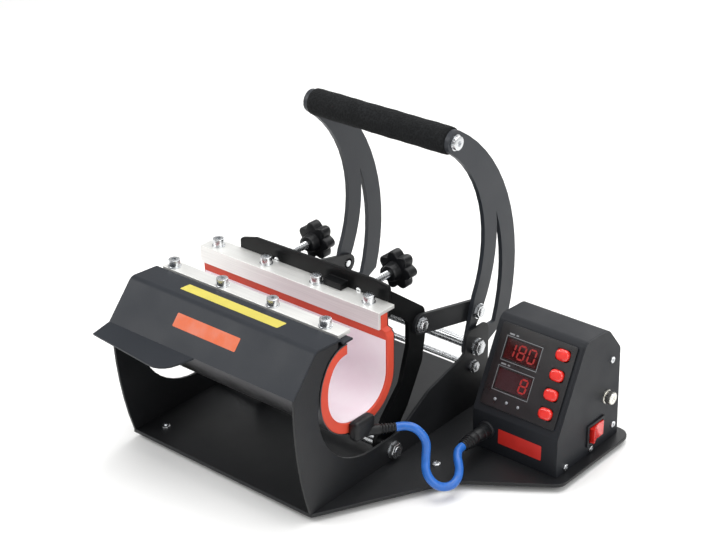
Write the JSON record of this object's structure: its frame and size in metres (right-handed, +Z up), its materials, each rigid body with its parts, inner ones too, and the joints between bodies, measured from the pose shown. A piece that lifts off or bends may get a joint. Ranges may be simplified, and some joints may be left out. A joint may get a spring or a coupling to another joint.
{
  "type": "mug heat press",
  "caption": "Mug heat press: sheet steel cradle with a heated wrap, toggle handle with foam grip, clamping jaw with knobs, and a control box with displays, buttons and a blue heater lead.",
  "frame": {"origin": "centre of the press's bounding box, without its free lead, on the surface the feet stand on", "axes": "+X to the right along the clamp bars and the mug, +Y from the front cover to the handle at the rear, +Z up"},
  "size_m": [0.4178, 0.3906, 0.3395],
  "materials": {
    "powder_grey": "fine-textured powder coat",
    "powder_black": "fine-textured powder coat",
    "zinc_steel": "zinc plated",
    "bar_steel": "satin",
    "band_steel": "brushed along its length",
    "silicone_red": "matt",
    "liner_cloth": "smooth woven",
    "foam_black": "open foam",
    "plastic_black": "moulded",
    "rubber_black": "moulded",
    "lead_blue": "smooth sheath",
    "fascia_black": "gloss film",
    "display_window": "dark red window",
    "switch_red": "gloss",
    "board_green": "solder resist"
  },
  "bodies": {
    "cradle": {"base_plate": "powder_black", "foot_front_left": "rubber_black", "foot_front_right": "rubber_black", "foot_rear_left": "rubber_black", "foot_rear_right": "rubber_black", "end_plate_left": "powder_grey", "end_plate_right": "powder_grey", "jaw_shaft": "zinc_steel", "handle_shaft": "zinc_steel", "tie_rod": "zinc_steel", "front_cover": "powder_grey", "front_bar": "bar_steel", "front_bolt_1": "zinc_steel", "front_bolt_2": "zinc_steel", "front_bolt_3": "zinc_steel", "front_bolt_4": "zinc_steel", "wrap_steel_shell": "band_steel", "wrap_heater_pad": "silicone_red", "wrap_heater_flap": "silicone_red", "wrap_liner": "liner_cloth", "wrap_lead_gland": "rubber_black", "heater_lead": "lead_blue", "lead_plug": "rubber_black", "heater_socket": "plastic_black", "control_box_shell": "powder_black", "control_box_side_cover": "powder_black", "control_fascia": "fascia_black", "display_lower": "display_window", "display_upper": "display_window", "controller_board": "board_green", "rocker_frame": "plastic_black", "fuse_holder": "zinc_steel", "power_inlet": "plastic_black"},
    "jaw": {"jaw_cross_member": "powder_black", "jaw_arm_left": "powder_black", "jaw_arm_right": "powder_black", "rear_bar": "bar_steel", "rear_bolt_1": "zinc_steel", "rear_bolt_2": "zinc_steel", "rear_bolt_3": "zinc_steel", "rear_bolt_4": "zinc_steel", "jaw_pin_left": "zinc_steel", "jaw_pin_right": "zinc_steel"},
    "handle": {"handle_arm_left": "powder_grey", "handle_arm_right": "powder_grey", "grip_tube": "zinc_steel", "foam_grip": "foam_black", "grip_bolt_left": "zinc_steel", "grip_bolt_right": "zinc_steel", "crank_pin_left": "zinc_steel", "crank_pin_right": "zinc_steel"},
    "links": {"link_left": "powder_black", "link_right": "powder_black"},
    "knob_left": {"knob_left": "plastic_black"},
    "knob_right": {"knob_right": "plastic_black"},
    "rocker": {"rocker_paddle": "switch_red"},
    "button_1": {"button_1": "switch_red"},
    "button_2": {"button_2": "switch_red"},
    "button_3": {"button_3": "switch_red"},
    "button_4": {"button_4": "switch_red"}
  },
  "joints": [
    {"name": "handle_swing", "type": "hinge", "parent": "cradle", "child": "handle", "pos_m": [-0.07789, 0.12306, 0.081], "axis": [1, 0, 0], "range_deg": [0, 45]},
    {"name": "jaw_swing", "type": "hinge", "parent": "cradle", "child": "jaw", "pos_m": [-0.07789, -0.01793, 0.022], "axis": [1, 0, 0], "range_deg": [0, 12.5], "deforming": ["wrap_steel_shell", "wrap_heater_flap", "wrap_liner"]},
    {"name": "links_swing", "type": "hinge", "parent": "jaw", "child": "links", "pos_m": [-0.05189, 0.04007, 0.139], "axis": [1, 0, 0], "range_deg": [-21.5, 0]},
    {"name": "knob_left_turn", "type": "hinge", "parent": "jaw", "child": "knob_left", "pos_m": [-0.11789, 0.05706, 0.182], "axis": [0, 1, 0], "continuous": true},
    {"name": "knob_right_turn", "type": "hinge", "parent": "jaw", "child": "knob_right", "pos_m": [-0.00689, 0.05706, 0.182], "axis": [0, 1, 0], "continuous": true},
    {"name": "rocker_tip", "type": "hinge", "parent": "cradle", "child": "rocker", "pos_m": [0.19611, 0.12607, 0.033], "axis": [0, 0, 1], "range_deg": [-18, 0]},
    {"name": "button_1_press", "type": "slide", "parent": "cradle", "child": "button_1", "axis": [0, 0.8964, -0.4433], "range_m": [0, 0.0015], "stiffness_N_per_m": 400},
    {"name": "button_2_press", "type": "slide", "parent": "cradle", "child": "button_2", "axis": [0, 0.8964, -0.4433], "range_m": [0, 0.0015], "stiffness_N_per_m": 400},
    {"name": "button_3_press", "type": "slide", "parent": "cradle", "child": "button_3", "axis": [0, 0.8964, -0.4433], "range_m": [0, 0.0015], "stiffness_N_per_m": 400},
    {"name": "button_4_press", "type": "slide", "parent": "cradle", "child": "button_4", "axis": [0, 0.8964, -0.4433], "range_m": [0, 0.0015], "stiffness_N_per_m": 400}
  ],
  "couplings": [
    {"joint": "jaw_swing", "follows": "handle_swing", "ratio": 0.271},
    {"joint": "links_swing", "follows": "handle_swing", "ratio": -0.465}
  ]
}
